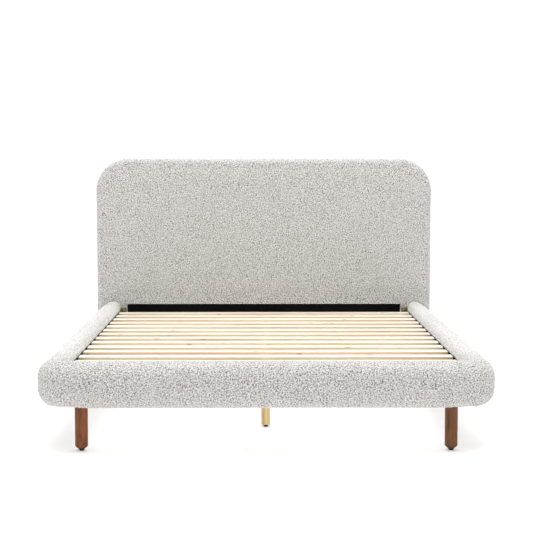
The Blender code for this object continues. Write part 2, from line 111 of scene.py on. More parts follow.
# ------------------------------------------------------------------ cloth and pile
CLOTH_STEPS = 20
CLOTH = {
    "quality": 4,
    "mass": 0.4,
    "tension_stiffness": 20,
    "compression_stiffness": 20,
    "shear_stiffness": 10,
    "bending_stiffness": 2,
    "use_pressure": True,
    "uniform_pressure_force": 4,
    "pin_stiffness": 1,
}
SINK, RISE = 0.003, 0.002  # furthest that the cloth settles below or swells above its shape
PILE = 0.0030  # height of the boucle's loops
PILE_SHADE_CONTRAST = 1.35  # how strongly the yarn's colour, with its painted shade in the gaps, follows them
PILE_ROUNDS = 6  # how widely the pile is levelled out
LOOP = 0.0060  # size of one loop
NOISE_SEED = 5  # without one, the noise would start from the clock
CURL_SCALE, CURL_REACH = 1.2, 0.5  # the loops' curls, as shares of a loop
GROOVE, GROOVE_SHARE = 1.6, 0.6  # how steeply a loop drops into the gap beside it

# ------------------------------------------------------------------ screwed hardware
FOOT_THICKNESS = 0.009
FOOT_EDGE = 0.0008
FOOT_SMOOTH_ANGLE = 50
RIBS, RIB_DEPTH, RIB_SIDES = 16, 0.0006, 8
STUD_RADIUS = 0.004
STUD_SIDES = 24
THREAD_PITCH, THREAD_DEPTH, THREAD_STEPS = 0.00125, 0.0006, 6
BOLT_SIDES = 36
BOLT_SMOOTH_ANGLE = 40
BOLT_HEAD_HEIGHT = 0.004
BOLT_HEAD_RIM = 0.2  # the rim's share of the head's height; the rest is its dome
BOLT_HEAD_CHAMFER = 0.0004
BOLT_SHANK_RADIUS = 0.004
BOLT_TIP_CHAMFER = 0.0008
BOLT_DOME_STEPS = 6
BOLT_SOCKET_RADIUS = 0.0028
BOLT_SOCKET_LIP = 1.3  # where the dome starts, in socket radii
BOLT_SOCKET_DEPTH = 0.6  # in heights of the head

# ------------------------------------------------------------------ colours
# Each is a ramp of (position, (red, green, blue)), from the darkest parts to the lightest.
# painted shade: the yarn's colour greys from the loops' backs down into the gaps between them
BOUCLE_AND_GAP_SHADE = (
    (0.31, (0.19, 0.175, 0.16)),
    (0.45, (0.51, 0.495, 0.47)),
    (0.59, (0.77, 0.765, 0.75)),
    (0.77, (0.92, 0.925, 0.925)),
)
PALE_PINE = (
    (0.30, (0.62, 0.43, 0.25)),
    (0.50, (0.79, 0.62, 0.42)),
    (0.70, (0.87, 0.74, 0.55)),
)
GOLDEN_PINE = (
    (0.36, (0.60, 0.385, 0.165)),
    (0.50, (0.79, 0.57, 0.295)),
    (0.62, (0.87, 0.71, 0.47)),
)
# painted top light: paler colours for faces that point up or down, standing in for the strong
# light from above
PAINTED_TOP_LIGHT_PINE = (
    (0.30, (0.70, 0.64, 0.57)),
    (0.50, (0.76, 0.73, 0.69)),
    (0.70, (0.80, 0.78, 0.76)),
)
PINE_TINT = ((0.35, (1.0, 0.91, 0.86)), (0.65, (0.96, 1.0, 0.94)))
PINE_KNOT = (0.22, 0.13, 0.07)
WALNUT = (
    (0.34, (0.090, 0.028, 0.010)),
    (0.50, (0.190, 0.066, 0.022)),
    (0.66, (0.265, 0.100, 0.036)),
)
RED_WALNUT, BROWN_WALNUT = (1.16, 1.02, 0.78), (0.80, 0.87, 0.70)
# painted shade: the dark colour the legs' tips take near the floor
TIP_SHADE_COLOUR = (0.030, 0.012, 0.006)
TIP_SHADE_FROM, TIP_SHADE_TO, TIP_SHADE_STRENGTH = 0.022, 0.008, 0.90  # heights on the leg between which the painted shade at its tip fades in, and its strength
ZINC_FILM = (
    (0.34, (0.13, 0.15, 0.055)),
    (0.47, (0.34, 0.30, 0.10)),
    (0.55, (0.44, 0.27, 0.10)),
    (0.66, (0.27, 0.10, 0.065)),
)
PLYWOOD = (
    (0.30, (0.48, 0.33, 0.19)),
    (0.55, (0.66, 0.50, 0.32)),
    (0.75, (0.74, 0.60, 0.41)),
)
BLACK_LINING = ((0.3, (0.002, 0.002, 0.002)), (0.7, (0.009, 0.009, 0.008)))
BLACK_COATING = ((0.3, (0.012, 0.012, 0.013)), (0.7, (0.028, 0.028, 0.030)))
BLACK_PLASTIC = ((0.3, (0.003, 0.003, 0.003)), (0.7, (0.009, 0.009, 0.009)))
STUDIO_FLOOR = ((0.3, (0.69, 0.69, 0.69)), (0.7, (0.71, 0.71, 0.71)))
WHITE = (1, 1, 1, 1)

# ------------------------------------------------------------------ light and camera
COVE_HORIZON = 1.02
COVE_OVERHEAD = 0.37
COVE_FADE = (0.14, 0.22)  # between these heights of the view the one turns into the other
OVERHEAD_POWER = 3.4
OVERHEAD_SPREAD = 60
FLOOR_GLOW = 0.34
FLOOR_HALF_SIZE = 30
# name: (place, what it points at, size, power)
SOFTBOXES = {
    "softbox_above": ((0, -0.1, 2.9), (0, -0.1, 0), (2.6, 1.8), 18.5),
    "softbox_fill": ((0, -0.9, 0.8), (0, 1.02, 0.7), (2.2, 0.5), 3.4),
}
CAMERA_PLACE = (-0.0326, -5.8279, 1.0838)
CAMERA_DIP, CAMERA_TURN = 4.6079, -0.3899  # degrees below the horizon, and round Z
CAMERA_LENS, CAMERA_SENSOR = 86.47, 36


# ------------------------------------------------------------------ mesh helpers
def arc(centre, radii, start, end, steps):
    """Points on an ellipse's arc, from start to end in degrees."""
    angles = [math.radians(start + (end - start) * i / steps) for i in range(steps + 1)]
    return [
        (centre[0] + radii[0] * math.cos(a), centre[1] + radii[1] * math.sin(a))
        for a in angles
    ]


def resample(points, count):
    """Evenly spaced points along an open outline, both ends kept."""
    points = np.array(points)
    lengths = np.linalg.norm(np.diff(points, axis=0), axis=1)
    along = np.concatenate([[0], np.cumsum(lengths)])
    at = np.linspace(0, along[-1], count)
    return [tuple(float(np.interp(s, along, points[:, k])) for k in (0, 1)) for s in at]


def new_piece(name, bm, material, smooth=True):
    """A bmesh as a new object with its faces pointing out."""
    bmesh.ops.recalc_face_normals(bm, faces=bm.faces)
    mesh = bpy.data.meshes.new(name)
    bm.to_mesh(mesh)
    bm.free()
    if smooth:
        mesh.shade_smooth()
    mesh.materials.append(material)
    obj = bpy.data.objects.new(name, mesh)
    bpy.context.scene.collection.objects.link(obj)
    return obj


def bridge(bm, loops, closed=True):
    """Quads between consecutive loops of vertices."""
    for this, after in zip(loops, loops[1:]):
        count = len(this)
        for i in range(count if closed else count - 1):
            j = (i + 1) % count
            bm.faces.new((this[i], this[j], after[j], after[i]))


def loft(rings):
    """A closed body through rings of equal count, with flat ends."""
    bm = bmesh.new()
    loops = [[bm.verts.new(point) for point in ring] for ring in rings]
    bridge(bm, loops)
    bm.faces.new(loops[0])
    bm.faces.new(loops[-1])
    bmesh.ops.remove_doubles(bm, verts=bm.verts, dist=WELD)
    return bm


def coordinates(mesh):
    """The mesh's points as rows of x, y, z."""
    points = np.empty(len(mesh.vertices) * 3, np.float32)
    mesh.vertices.foreach_get("co", points)
    return points.reshape(-1, 3).astype(float)


def set_coordinates(mesh, points):
    """Moves the mesh's points to these rows of x, y, z."""
    mesh.vertices.foreach_set("co", points.astype(np.float32).ravel())
    mesh.update()


def cut_box(piece, low, high):
    """Subtracts a box and applies the cut."""
    bm = bmesh.new()
    bmesh.ops.create_cube(bm, size=1.0)
    size = [b - a for a, b in zip(low, high)]
    bmesh.ops.scale(bm, vec=size, verts=bm.verts)
    bmesh.ops.translate(
        bm, vec=[(a + b) / 2 for a, b in zip(low, high)], verts=bm.verts
    )
    cut_with(piece, bm)


def cut_with(piece, bm):
    """Subtracts the body in bm and applies the cut."""
    tool = new_piece("cutting_tool", bm, piece.data.materials[0], smooth=False)
    cut = piece.modifiers.new("cut", "BOOLEAN")
    cut.operation = "DIFFERENCE"
    cut.solver = "EXACT"
    cut.object = tool
    graph = bpy.context.evaluated_depsgraph_get()
    cut_mesh = bpy.data.meshes.new_from_object(piece.evaluated_get(graph))
    piece.modifiers.clear()
    old = piece.data
    piece.data = cut_mesh
    bpy.data.meshes.remove(old)
    bpy.data.objects.remove(tool)


# ------------------------------------------------------------------ padding: cloth and pile
def vertex_normals(mesh):
    """The directions in which the mesh's points face, as rows of x, y, z."""
    normals = np.empty(len(mesh.vertices) * 3, np.float32)
    mesh.vertices.foreach_get("normal", normals)
    return normals.reshape(-1, 3).astype(float)


def smoothstep(values, low, high):
    """0 up to low and 1 from high on, with a smooth rise between."""
    t = np.clip((values - low) / (high - low), 0, 1)
    return t * t * (3 - 2 * t)


def swell(piece, held, ease=None):
    """Blows the closed pad up as cloth that is held where its cover is stapled down.

    The points then move along their normals by how much more or less than the middle point
    they rose, between -SINK and RISE.  ease fades that out towards a joint."""
    scene = bpy.context.scene
    before = coordinates(piece.data)
    normals = vertex_normals(piece.data)
    group = piece.vertex_groups.new(name="held")
    group.add([int(i) for i in np.nonzero(held)[0]], 1.0, "REPLACE")
    cloth = piece.modifiers.new("Cloth", "CLOTH")
    settings = cloth.settings
    for name, value in CLOTH.items():
        setattr(settings, name, value)
    settings.vertex_group_mass = "held"
    settings.effector_weights.gravity = 0
    cloth.collision_settings.use_collision = False
    cloth.collision_settings.use_self_collision = False
    cloth.point_cache.frame_start = 1
    cloth.point_cache.frame_end = CLOTH_STEPS
    for step in range(1, CLOTH_STEPS + 1):
        scene.frame_set(step)
    graph = bpy.context.evaluated_depsgraph_get()
    after = coordinates(piece.evaluated_get(graph).to_mesh())
    piece.evaluated_get(graph).to_mesh_clear()
    piece.modifiers.clear()
    piece.vertex_groups.clear()
    scene.frame_set(1)
    lift = ((after - before) * normals).sum(1)
    lift = np.clip(lift - np.median(lift[~held]), -SINK, RISE)
    lift[held] = 0
    if ease is not None:
        lift *= ease(before)
    set_coordinates(piece.data, before + normals * lift[:, None])


def divide(piece, hidden):
    """Divides the visible faces more finely; hidden finds the points of the covered ones."""
    bm = bmesh.new()
    bm.from_mesh(piece.data)
    bm.verts.ensure_lookup_table()
    covered = hidden(coordinates(piece.data))
    edges = {
        edge
        for face in bm.faces
        if not all(covered[v.index] for v in face.verts)
        for edge in face.edges
    }
    bmesh.ops.subdivide_edges(
        bm, edges=list(edges), cuts=FINER - 1, use_grid_fill=True
    )
    bm.to_mesh(piece.data)
    bm.free()


def loop_height(point):
    """The boucle's curled loops at a point: 0 in a gap, about 1 on the back of a loop."""
    curl = noise.noise_vector(point * CURL_SCALE / LOOP) * LOOP * CURL_REACH
    near, after = noise.voronoi((point + curl) / LOOP)[0][:2]
    groove = min(1.0, (after - near) * GROOVE)
    return groove * GROOVE_SHARE + max(0.0, 1 - near) * (1 - GROOVE_SHARE)


def neighbours_mean(mesh, values, rounds):
    """Values averaged with those of the points next to them, a few rounds over."""
    ends = np.empty(len(mesh.edges) * 2, np.int32)
    mesh.edges.foreach_get("vertices", ends)
    one, other = ends.reshape(-1, 2).T
    size = len(values)
    count = 1 + np.bincount(one, minlength=size) + np.bincount(other, minlength=size)
    for _ in range(rounds):
        total = values + np.bincount(one, values[other], size)
        values = (total + np.bincount(other, values[one], size)) / count
    return values


def raise_pile(piece, weight, flatten=None):
    """Moves the visible points in and out along their normals by the height of the loops.

    weight says how far at each point, and flatten turns the normals next to a joint.  The
    heights are kept in the attribute "pile", which the fabric's colour follows."""
    mesh = piece.data
    points = coordinates(mesh)
    normals = vertex_normals(mesh)
    if flatten is not None:
        normals = flatten(points, normals)
    heights = np.array([loop_height(Vector(p)) for p in points])
    heights -= neighbours_mean(mesh, heights, PILE_ROUNDS)
    move = (heights - heights.mean()) * PILE * weight(points)
    set_coordinates(mesh, points + normals * move[:, None])
    # the colour's painted shade in the gaps follows these heights
    pile = mesh.attributes.new("pile", "FLOAT", "POINT")
    pile.data.foreach_set("value", (0.5 + PILE_SHADE_CONTRAST * heights).astype(np.float32))


def finish_pad(piece, node):
    """Shades the pad, hides the CAD solid it stands for and hangs it from the frame's empty."""
    piece.data.shade_smooth()
    piece.data.set_sharp_from_angle(angle=math.radians(PAD_SMOOTH_ANGLE))
    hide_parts(node)
    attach(piece, ROOT)


# ------------------------------------------------------------------ padded rails
def rail_outline(bow, inset=0.0):
    """The rails' covered outline as (out, z), from the mattress side over the top and under.

    bow is 1 where the inner face leans over the slats and 0 at the corners."""
    top, bottom = RAIL_TOP - inset, RAIL_BOTTOM + inset
    width, height = RAIL_OUTER_WIDTH - inset, RAIL_OUTER_HEIGHT - inset
    outer = RAIL_THICKNESS - RAIL_OUTER_WIDTH
    lean, drop = RAIL_INNER_BOW * bow - inset, RAIL_INNER_BOW_HEIGHT
    low = CORE_HIGH[2] + GAP + inset
    points = [(0, low)]
    if bow:
        points += arc((0, low + drop), (lean, drop), 270, 180, RAIL_BOW_STEPS)[1:]
    inner, shoulder = RAIL_INNER_RADIUS, low + drop
    radii = (inner + lean, top - shoulder)
    points += arc((inner, shoulder), radii, 180, 90, RAIL_INNER_STEPS)
    radii = (width, height)
    points += arc((outer, top - height), radii, 90, 0, RAIL_OUTER_STEPS)
    points += arc((outer, bottom + height), radii, 0, -90, RAIL_OUTER_STEPS)
    points += [(0, bottom)]
    return resample(points, RAIL_COLUMNS)


def in_rail_core(points):
    """Points on the slot of a side rail's padding that holds the box beam."""
    out = np.abs(points[:, 0]) - HALF_WIDTH
    z = points[:, 2]
    return (
        (np.abs(out) < CORE_DEPTH + ON_SURFACE)
        & (z > CORE_LOW[2] - ON_SURFACE)
        & (z < CORE_HIGH[2] + ON_SURFACE)
    )


def side_rail_pad(label, side, material):
    """One side rail's padding, lofted along the rail and open to its box beam."""
    low, high = CORE_LOW[2] - GAP, CORE_HIGH[2] + GAP
    deep = CORE_DEPTH + GAP
    slot_points = [(0, low), (deep, low), (deep, high)]
    y_low, y_high = RAIL_LOW[1], RAIL_HIGH[1]
    straight = y_high - RAIL_END_RADIUS
    count = round((straight - y_low) / CELL)
    stations = [(y_low + (straight - y_low) * i / count, 0.0) for i in range(count)]
    stations += [
        (straight + along, RAIL_END_RADIUS - out)
        for along, out in arc((0, 0), (RAIL_END_RADIUS,) * 2, 90, 0, RAIL_END_STEPS)
    ]
    rings = []
    for y, inset in stations:
        section = rail_outline(float(smoothstep(y - y_low, 0, CORNER_EASE)), inset)
        rings.append(
            [(side * (HALF_WIDTH + out), y, z) for out, z in section + slot_points]
        )
    piece = new_piece(f"side_rail_pad_{label}", loft(rings), material)

    def from_foot(points):
        """Fades out at the foot end, which meets the footboard."""
        return smoothstep(points[:, 1] - y_low, 0, CORNER_EASE)

    swell(piece, in_rail_core(coordinates(piece.data)), from_foot)
    divide(piece, in_rail_core)

    def along_section(points, normals):
        """The ends are covered, so the loops next to them stand straight out."""
        ends = np.minimum(points[:, 1] - y_low, y_high - points[:, 1]) < CELL / 2
        normals[ends, 1] = 0
        length = np.linalg.norm(normals, axis=1)
        return normals / np.maximum(length, 0.5)[:, None]

    def weight(points):
        """No loops on the slot, nor at the end that meets the headboard."""
        return smoothstep(y_high - points[:, 1], 0, CELL / 2) * ~in_rail_core(points)

    raise_pile(piece, weight, along_section)
    points = coordinates(piece.data)
    points[:, 1] = np.clip(points[:, 1], y_low, y_high)
    set_coordinates(piece.data, points)
    finish_pad(piece, f"side_rail_upholstery_{label}")


def in_foot_core(points):
    """Points on the footboard's padding where its box beam or a leg stands."""
    x, y, z = points.T
    core = (
        (np.abs(x) < FOOT_CORE_HIGH[0] + ON_SURFACE)
        & (y > FOOT_CORE_LOW[1] - ON_SURFACE)
        & (z > FOOT_CORE_LOW[2] - ON_SURFACE)
        & (z < FOOT_CORE_HIGH[2] + ON_SURFACE)
    )
    low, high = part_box("leg_foot_right")
    centre_x, centre_y = (low[0] + high[0]) / 2, (low[1] + high[1]) / 2
    reach = (high[0] - low[0]) / 2 + 2 * ON_SURFACE
    leg = (np.hypot(np.abs(x) - centre_x, y - centre_y) < reach) & (z < high[2])
    return core | leg


def leg_clearance(name):
    """A cylinder a little wider than the leg, from below the padding up to the frame."""
    low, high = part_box(name)
    radius = (high[0] - low[0]) / 2 + GAP
    middle = ((low[0] + high[0]) / 2, (low[1] + high[1]) / 2)
    outline = arc(middle, (radius, radius), 0, 360, LEG_SIDES)[:-1]
    heights = (RAIL_BOTTOM - PAD_DEPTH, high[2] + GAP)
    return loft([[(x, y, z) for x, y in outline] for z in heights])


def footboard_pad(material):
    """The footboard's padding: it turns both corners, and is cut out for its beam and legs."""
    rings = []
    corner = rail_outline(0.0)
    corner_steps = round(math.pi / 2 * RAIL_THICKNESS / CELL)
    for pivot, first in ((HALF_WIDTH, 0), (-HALF_WIDTH, -90)):
        for i in range(corner_steps + 1):
            angle = math.radians(first - 90 * i / corner_steps)
            rings.append(
                [
                    (pivot + out * math.cos(angle), FOOT_FACE + out * math.sin(angle), z)
                    for out, z in corner
                ]
            )
        if pivot > 0:
            middle = round(2 * HALF_WIDTH / CELL)
            for i in range(1, middle):
                x = HALF_WIDTH - 2 * HALF_WIDTH * i / middle
                bow = float(smoothstep(HALF_WIDTH - abs(x), 0, CORNER_EASE))
                rings.append([(x, FOOT_FACE - out, z) for out, z in rail_outline(bow)])
    piece = new_piece("footboard_pad", loft(rings), material)
    cut_box(
        piece,
        (FOOT_CORE_LOW[0] - GAP, FOOT_CORE_LOW[1] - GAP, FOOT_CORE_LOW[2] - GAP),
        (FOOT_CORE_HIGH[0] + GAP, FOOT_FACE + CORE_DEPTH, FOOT_CORE_HIGH[2] + GAP),
    )

    for name in ("leg_foot_left", "leg_foot_right"):
        cut_with(piece, leg_clearance(name))

    def from_ends(points):
        """Fades out at the two ends, which meet the side rails."""
        return np.where(
            np.abs(points[:, 0]) > HALF_WIDTH,
            smoothstep(FOOT_FACE - points[:, 1], 0, CORNER_EASE / 2),
            1.0,
        )

    swell(piece, in_foot_core(coordinates(piece.data)), from_ends)
    divide(piece, in_foot_core)

    def at_ends(points):
        """Points next to the side rails."""
        return (np.abs(points[:, 0]) > HALF_WIDTH) & (
            FOOT_FACE - points[:, 1] < CELL / 2
        )

    def along_section(points, normals):
        """The ends are covered, so the loops next to them stand straight out."""
        normals[at_ends(points), 1] = 0
        length = np.linalg.norm(normals, axis=1)
        return normals / np.maximum(length, 0.5)[:, None]

    raise_pile(
        piece, lambda points: (~in_foot_core(points)).astype(float), along_section
    )
    points = coordinates(piece.data)
    ends = np.abs(points[:, 0]) > HALF_WIDTH - JOINT_OVERLAP
    points[ends, 1] = np.minimum(points[ends, 1], FOOT_FACE)
    set_coordinates(piece.data, points)
    finish_pad(piece, "footboard_upholstery")


# ------------------------------------------------------------------ headboard
def headboard_outline(inset, count):
    """The headboard's front outline moved in by inset, as count evenly spaced (x, z)."""
    half = HEAD_HIGH[0] - inset
    top, bottom = HEAD_HIGH[2] - inset, RAIL_BOTTOM + inset
    large = HEADBOARD_RADIUS - inset
    small = max(HEADBOARD_FOOT_RADIUS - inset, SMALLEST_RADIUS)
    sides, foot = (large, large), (small, small)
    points = (
        [(0, bottom)]
        + arc((half - small, bottom + small), foot, 270, 360, HEADBOARD_FOOT_STEPS)
        + arc((half - large, top - large), sides, 0, 90, HEADBOARD_STEPS)
        + arc((-half + large, top - large), sides, 90, 180, HEADBOARD_STEPS)
        + arc((-half + small, bottom + small), foot, 180, 270, HEADBOARD_FOOT_STEPS)
        + [(0, bottom)]
    )
    return resample(points, count + 1)[:-1]


def inside_headboard(x, z, inset):
    """How far a front point lies inside the outline moved in by inset (negative outside)."""
    half = HEAD_HIGH[0] - inset
    top, bottom = HEAD_HIGH[2] - inset, RAIL_BOTTOM + inset
    middle, tall = (top + bottom) / 2, (top - bottom) / 2
    large = HEADBOARD_RADIUS - inset
    small = max(HEADBOARD_FOOT_RADIUS - inset, SMALLEST_RADIUS)
    radius = np.where(z > middle, large, small)
    dx = np.abs(x) - half + radius
    dz = np.abs(z - middle) - tall + radius
    outside = np.hypot(np.maximum(dx, 0), np.maximum(dz, 0))
    return radius - outside - np.minimum(np.maximum(dx, dz), 0)


def flat_fill(bm, loop, inset, y):
    """Closes a ring of the headboard with an even triangular lattice at depth y."""
    ring = [(v.co.x, v.co.z) for v in loop]
    rows = np.arange(RAIL_BOTTOM, HEAD_HIGH[2], CELL * math.sqrt(3) / 2)
    columns = np.arange(-HEAD_HIGH[0] + LATTICE_SHIFT, HEAD_HIGH[0], CELL)
    lattice = np.array(
        [
            (x + (CELL / 2 if i % 2 else 0), z)
            for i, z in enumerate(rows)
            for x in columns
        ]
    )
    depth = inside_headboard(lattice[:, 0], lattice[:, 1], inset)
    inner = lattice[depth > LATTICE_CLEARANCE]
    points = [Vector(p) for p in ring] + [Vector(p) for p in inner]
    edges = [(i, (i + 1) % len(ring)) for i in range(len(ring))]
    filled = geometry.delaunay_2d_cdt(points, edges, [], 1, WELD / 10)
    placed, _, faces, origin = filled[:4]
    verts = []
    for point, sources in zip(placed, origin):
        known = [s for s in sources if s < len(ring)]
        verts.append(loop[known[0]] if known else bm.verts.new((point.x, y, point.y)))
    for face in faces:
        bm.faces.new([verts[i] for i in face])


def headboard_slab(layers):
    """A closed slab through layers of (inset, y), its first and last closed by a lattice."""
    bm = bmesh.new()
    loops = [
        [bm.verts.new((x, y, z)) for x, z in headboard_outline(inset, HEADBOARD_COLUMNS)]
        for inset, y in layers
    ]
    bridge(bm, loops)
    for loop, (inset, y) in ((loops[0], layers[0]), (loops[-1], layers[-1])):
        flat_fill(bm, loop, inset, y)
    return bm


def in_headboard_pocket(points):
    """Points on the pocket for the timber frame or on the cut-out above the lined board."""
    x, y, z = points.T
    behind = y > HEAD_FACE + PAD_DEPTH - ON_SURFACE
    low = (z < PANEL_LOW[2] + ON_SURFACE) & (np.abs(x) < PANEL_HIGH[0] + ON_SURFACE)
    depth = inside_headboard(x, z, 0.0)
    pocket = behind & ((depth > PAD_DEPTH - ON_SURFACE) | low)
    notch = (np.abs(x) < NOTCH_HALF_WIDTH + ON_SURFACE) & (z < NOTCH_TOP + ON_SURFACE)
    return pocket | notch


def headboard_pad(material):
    """The headboard's padding, cut out for its timber frame and above the lined board."""
    front, back = HEADBOARD_FRONT_EDGE, HEADBOARD_BACK_EDGE
    layers = [
        (front - out, HEAD_FACE + front - up)
        for out, up in arc((0, 0), (front, front), 90, 0, FRONT_EDGE_STEPS)
    ]
    layers += [(0, HEAD_BACK - back - HEADBOARD_SIDE_RING)]
    layers += [
        (back - out, HEAD_BACK - back + up)
        for out, up in arc((0, 0), (back, back), 0, 90, BACK_EDGE_STEPS)
    ]
    piece = new_piece("headboard_pad", headboard_slab(layers), material)

    inset, bottom = PAD_DEPTH, PANEL_LOW[2] - GAP
    half, top = HEAD_HIGH[0] - inset, HEAD_HIGH[2] - inset
    large, small = HEADBOARD_RADIUS - inset, HEADBOARD_FOOT_RADIUS - inset
    sides, foot = (large, large), (small, small)
    outline = (
        arc((half - large, top - large), sides, 0, 90, POCKET_STEPS)
        + arc((-half + large, top - large), sides, 90, 180, POCKET_STEPS)
        + arc((-half + small, bottom + small), foot, 180, 270, POCKET_FOOT_STEPS)
        + arc((half - small, bottom + small), foot, 270, 360, POCKET_FOOT_STEPS)
    )
    behind = HEAD_BACK + PAD_DEPTH
    walls = [[(x, y, z) for x, z in outline] for y in (HEAD_FACE + PAD_DEPTH, behind)]
    cut_with(piece, loft(walls))
    cut_box(
        piece,
        (-NOTCH_HALF_WIDTH, HEAD_FACE - PAD_DEPTH, 0),
        (NOTCH_HALF_WIDTH, behind, NOTCH_TOP),
    )
    swell(piece, in_headboard_pocket(coordinates(piece.data)))
    divide(piece, in_headboard_pocket)
    raise_pile(piece, lambda points: (~in_headboard_pocket(points)).astype(float))
    points = coordinates(piece.data)
    x, z = np.abs(points[:, 0]), points[:, 2]
    touching = (x < RAIL_HIGH[0]) & (z < RAIL_TOP)
    points[touching, 1] = np.maximum(points[touching, 1], HEAD_FACE)
    set_coordinates(piece.data, points)
    finish_pad(piece, "headboard_upholstery")


def headboard_back_cover(material):
    """The covered panel that closes the headboard's back."""
    edge = BACK_COVER_EDGE
    inset = PAD_DEPTH + GAP
    layers = [(inset, PANEL_LOW[1])]
    layers += [
        (inset + edge - out, HEAD_BACK - edge + up)
        for out, up in arc((0, 0), (edge, edge), 0, 90, BACK_COVER_STEPS)
    ]
    piece = new_piece("headboard_back_cover", headboard_slab(layers), material)

    # the lower corners are stretched down to the panel's own lower edge
    points = coordinates(piece.data)
    low = points[:, 2] < RAIL_BOTTOM + HEADBOARD_FOOT_RADIUS
    rise = RAIL_BOTTOM + HEADBOARD_FOOT_RADIUS - points[:, 2]
    span = HEADBOARD_FOOT_RADIUS - inset
    stretch = (HEADBOARD_FOOT_RADIUS - (PANEL_LOW[2] - RAIL_BOTTOM)) / span
    points[low, 2] = (RAIL_BOTTOM + HEADBOARD_FOOT_RADIUS - rise * stretch)[low]
    set_coordinates(piece.data, points)

    def covered(points):
        """Points in front of the rounded edge, inside the headboard."""
        return points[:, 1] < HEAD_BACK - edge - GAP

    divide(piece, covered)
    raise_pile(piece, lambda points: (~covered(points)).astype(float))
    finish_pad(piece, "headboard_back_panel")


# ------------------------------------------------------------------ screwed hardware
def turned_rings(profile, sides, place, radius_at=None):
    """Rings round +Z through a profile's (radius, height) points.

    radius_at(radius, angle, height) shapes them, as for ribs, a thread or a hexagon."""
    rings = []
    for radius, height in profile:
        ring = []
        for i in range(sides):
            angle = 2 * math.pi * i / sides
            r = radius_at(radius, angle, height) if radius_at else radius
            ring.append(
                (place[0] + r * math.cos(angle), place[1] + r * math.sin(angle), height)
            )
        rings.append(ring)
    return rings


def levelling_foot(number, plastic, steel):
    """A ribbed plastic foot and its threaded stud, which turn out of the centre leg together."""
    node = f"levelling_foot_{number}"
    low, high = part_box(node)
    centre = ((low[0] + high[0]) / 2, (low[1] + high[1]) / 2)
    radius, bottom, edge = (high[0] - low[0]) / 2, low[2], FOOT_EDGE

    def ribbed(r, angle, z):
        """Grooves round the foot for a good grip."""
        return r - RIB_DEPTH * (0.5 - 0.5 * math.cos(RIBS * angle)) * (r > STUD_RADIUS)

    foot = [
        (radius - 2.5 * edge, bottom),
        (radius - edge, bottom + 0.4 * edge),
        (radius, bottom + 1.5 * edge),
        (radius, bottom + FOOT_THICKNESS - 2 * edge),
        (radius - 0.5 * edge, bottom + FOOT_THICKNESS - 0.7 * edge),
        (radius - 2 * edge, bottom + FOOT_THICKNESS - 0.2 * edge),
        (STUD_RADIUS + 2 * edge, bottom + FOOT_THICKNESS - 0.1 * edge),
        (STUD_RADIUS, bottom + FOOT_THICKNESS),
    ]
    rings = turned_rings(foot, RIBS * RIB_SIDES, centre, ribbed)
    pad = new_piece(f"{node}_pad", loft(rings), plastic)

    def threaded(r, angle, z):
        """A right-handed V thread."""
        turn = (z / THREAD_PITCH - angle / (2 * math.pi)) % 1
        return r - THREAD_DEPTH * (1 - abs(2 * turn - 1))

    start = bottom + FOOT_THICKNESS + GAP
    steps = round((high[2] - start) / THREAD_PITCH * THREAD_STEPS)
    shank = [
        (STUD_RADIUS, start + (high[2] - edge - start) * i / steps)
        for i in range(steps + 1)
    ]
    shank.append((STUD_RADIUS - edge, high[2]))
    rings = turned_rings(shank, STUD_SIDES, centre, threaded)
    stud = new_piece(f"{node}_stud", loft(rings), steel)
    for piece, slot in ((pad, "black_plastic"), (stud, "zinc")):
        piece.data.set_sharp_from_angle(angle=math.radians(FOOT_SMOOTH_ANGLE))
        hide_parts(node)
        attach(piece, node)


def button_bolt(node, steel):
    """A round-headed bolt with a hexagonal socket; its head faces the middle of the bed."""
    low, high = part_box(node)
    x, z = (low[0] + high[0]) / 2, (low[2] + high[2]) / 2
    inwards = -1 if low[1] > 0 else 1
    tip = high[1] if inwards < 0 else low[1]
    crown = low[1] if inwards < 0 else high[1]
    seat = crown - inwards * BOLT_HEAD_HEIGHT
    head = (high[0] - low[0]) / 2
    lip = BOLT_SOCKET_RADIUS * BOLT_SOCKET_LIP
    rim = seat + inwards * BOLT_HEAD_HEIGHT * BOLT_HEAD_RIM
    radii = (head - lip, BOLT_HEAD_HEIGHT * (1 - BOLT_HEAD_RIM))
    profile = [
        (BOLT_SHANK_RADIUS - BOLT_TIP_CHAMFER, tip),
        (BOLT_SHANK_RADIUS, tip + inwards * BOLT_TIP_CHAMFER),
        (BOLT_SHANK_RADIUS, seat),
        (head - BOLT_HEAD_CHAMFER, seat),
    ]
    profile += [
        (lip + out, rim + inwards * up)
        for out, up in arc((0, 0), radii, 0, 90, BOLT_DOME_STEPS)
    ]
    deep = crown - inwards * BOLT_HEAD_HEIGHT * BOLT_SOCKET_DEPTH
    profile += [(BOLT_SOCKET_RADIUS, crown), (BOLT_SOCKET_RADIUS, deep)]

    def hexagonal(r, angle, y):
        """The last two rings are the socket's: a hexagon."""
        if r > BOLT_SOCKET_RADIUS + WELD or abs(y - crown) > BOLT_HEAD_HEIGHT:
            return r
        half_side = math.pi / 6
        from_middle = angle % (2 * half_side) - half_side
        return r * math.cos(half_side) / math.cos(from_middle)

    rings = turned_rings(profile, BOLT_SIDES, (0, 0), hexagonal)
    bm = loft([[(x + a, y, z + b) for a, b, y in ring] for ring in rings])
    piece = new_piece(f"{node}_fine", bm, steel)
    piece.data.set_sharp_from_angle(angle=math.radians(BOLT_SMOOTH_ANGLE))
    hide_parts(node)
    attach(piece, ROOT)


